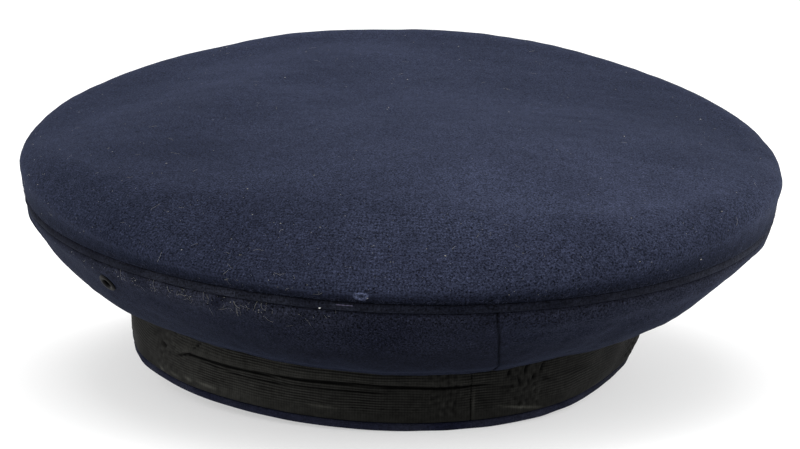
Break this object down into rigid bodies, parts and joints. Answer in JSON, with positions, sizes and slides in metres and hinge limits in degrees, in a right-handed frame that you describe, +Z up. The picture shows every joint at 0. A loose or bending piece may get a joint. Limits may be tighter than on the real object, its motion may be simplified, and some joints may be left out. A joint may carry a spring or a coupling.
{
  "type": "visor cap",
  "caption": "Soft cloth visor cap: oval band with a ribbed mohair braid, wide sagging crown with a raised front, welt, side vents and a short sloping visor, at rest.",
  "frame": {"origin": "on the surface that the cap stands on, under the middle of its box", "axes": "+Z up; -Y toward the visor, which is where the wearer looks; +X toward the wearer's left"},
  "size_m": [0.256, 0.2758, 0.1037],
  "materials": {
    "crown_wool": "navy wool, slightly felted, linty and dusty",
    "welt_cloth": "navy wool folded over a cord",
    "band_cloth": "navy wool over a stiff band",
    "mohair": "black ribbed mohair braid",
    "visor_leather": "black lacquer",
    "vent_metal": "darkened, worn"
  },
  "bodies": {
    "root": {"crown_top": "crown_wool", "crown_side_left": "crown_wool", "crown_side_right": "crown_wool", "crown_welt": "welt_cloth", "head_band": "band_cloth", "mohair_braid": "mohair", "visor": "visor_leather", "vent_left": "vent_metal", "vent_right": "vent_metal"}
  },
  "joints": []
}
